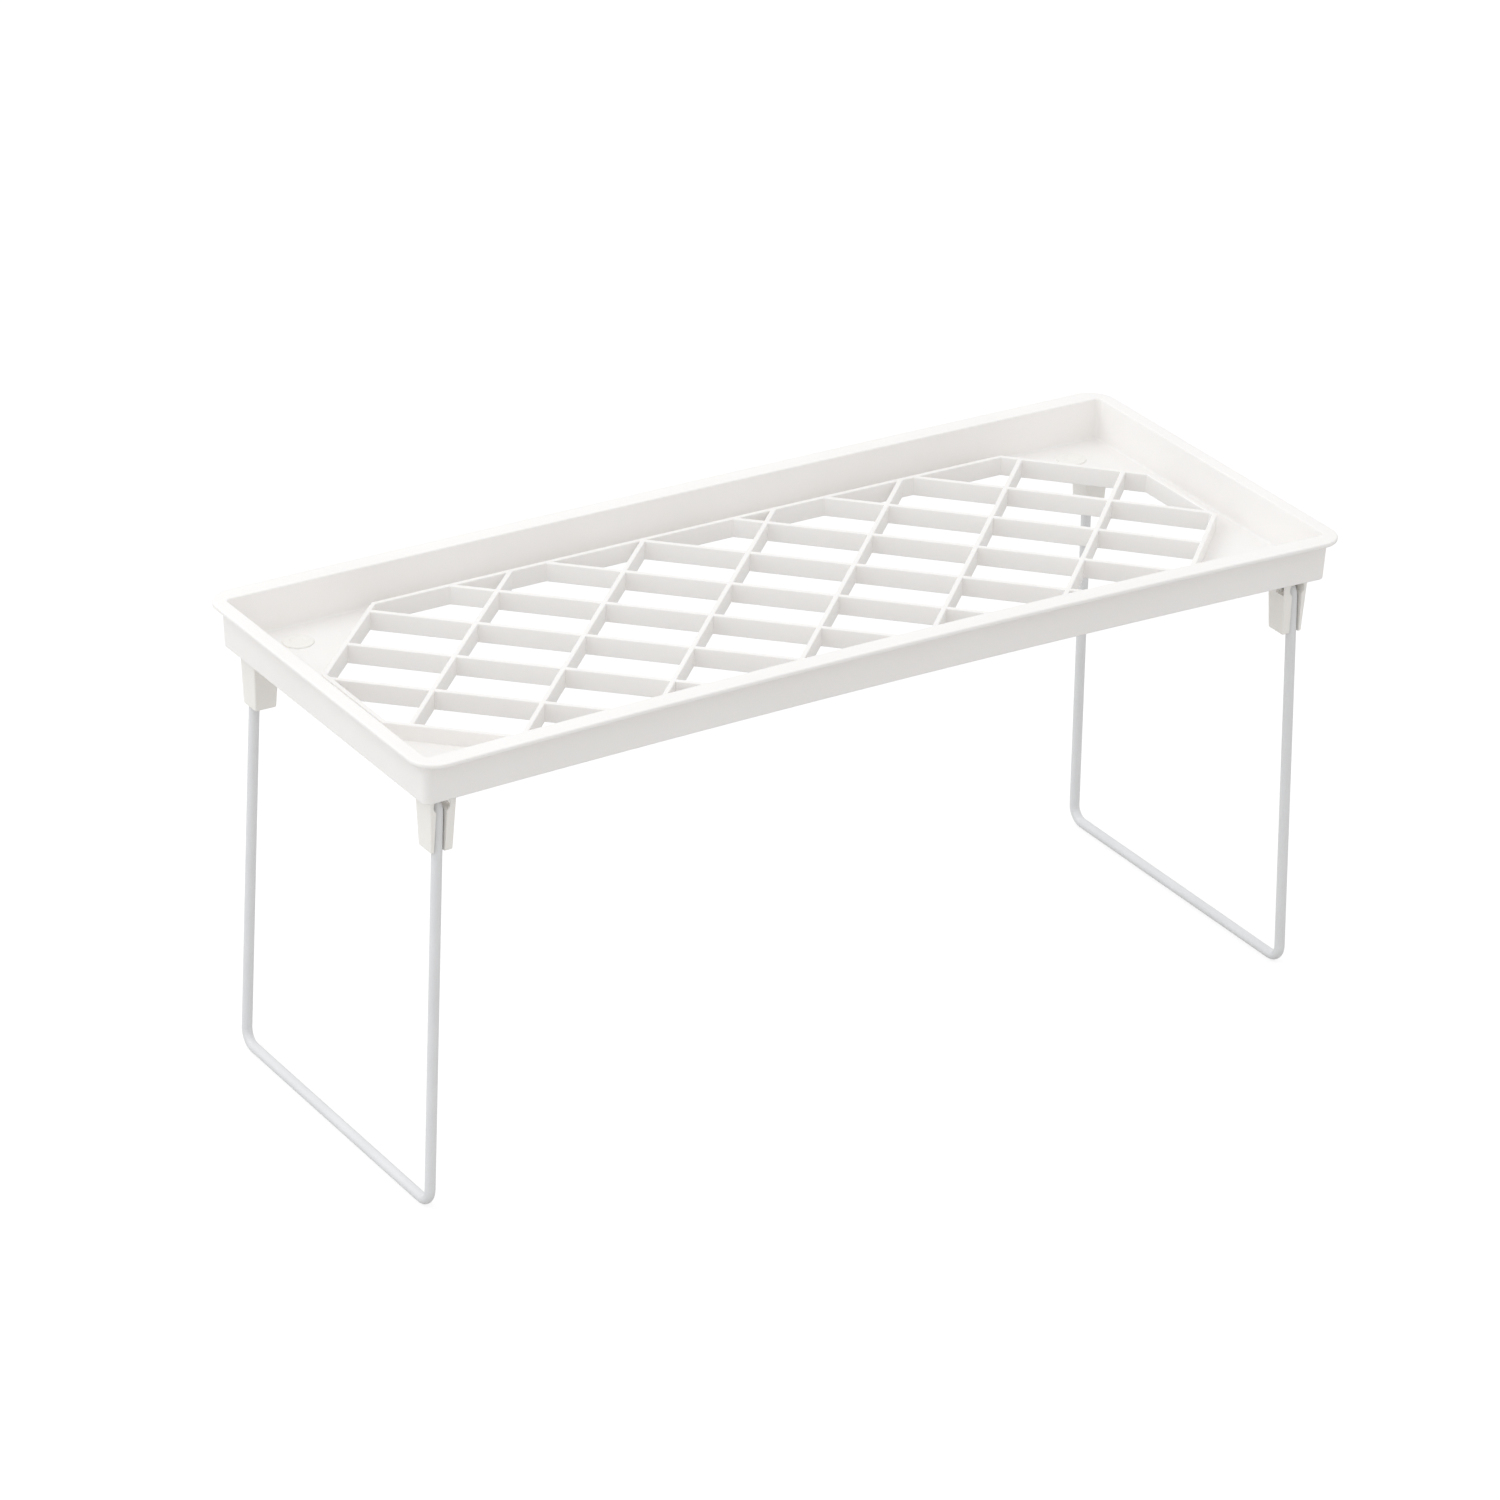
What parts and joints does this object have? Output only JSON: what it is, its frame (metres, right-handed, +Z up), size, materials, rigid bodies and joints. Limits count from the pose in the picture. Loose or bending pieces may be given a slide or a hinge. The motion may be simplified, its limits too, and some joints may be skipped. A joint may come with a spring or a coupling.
{
  "type": "folding shelf riser",
  "caption": "Free-standing kitchen shelf riser: a shallow rectangular tray with a raised rim and a diagonal lattice deck, on wire legs that fold flat beneath it",
  "frame": {"origin": "On the ground, below the middle of the tray", "axes": "+X along the tray's length to its right end, +Y along its width to its back, +Z up"},
  "size_m": [0.4, 0.1646, 0.1864],
  "materials": {
    "tray_plastic": "satin white moulded polypropylene",
    "socket_plastic": "satin warm white moulded plastic",
    "wire_coating": "cool white powder-coated steel wire"
  },
  "bodies": {
    "shelf": {"tray": "tray_plastic", "leg_socket_front_left": "socket_plastic", "leg_socket_back_left": "socket_plastic", "leg_socket_front_right": "socket_plastic", "leg_socket_back_right": "socket_plastic"},
    "left_leg": {"wire_leg_left": "wire_coating"},
    "right_leg": {"wire_leg_right": "wire_coating"}
  },
  "joints": [
    {"name": "left_leg_fold", "type": "hinge", "parent": "shelf", "child": "left_leg", "pos_m": [-0.1858, 0, 0.1625], "axis": [0, -1, 0], "range_deg": [0, 91]},
    {"name": "right_leg_fold", "type": "hinge", "parent": "shelf", "child": "right_leg", "pos_m": [0.1858, 0, 0.1625], "axis": [0, 1, 0], "range_deg": [0, 91]}
  ]
}
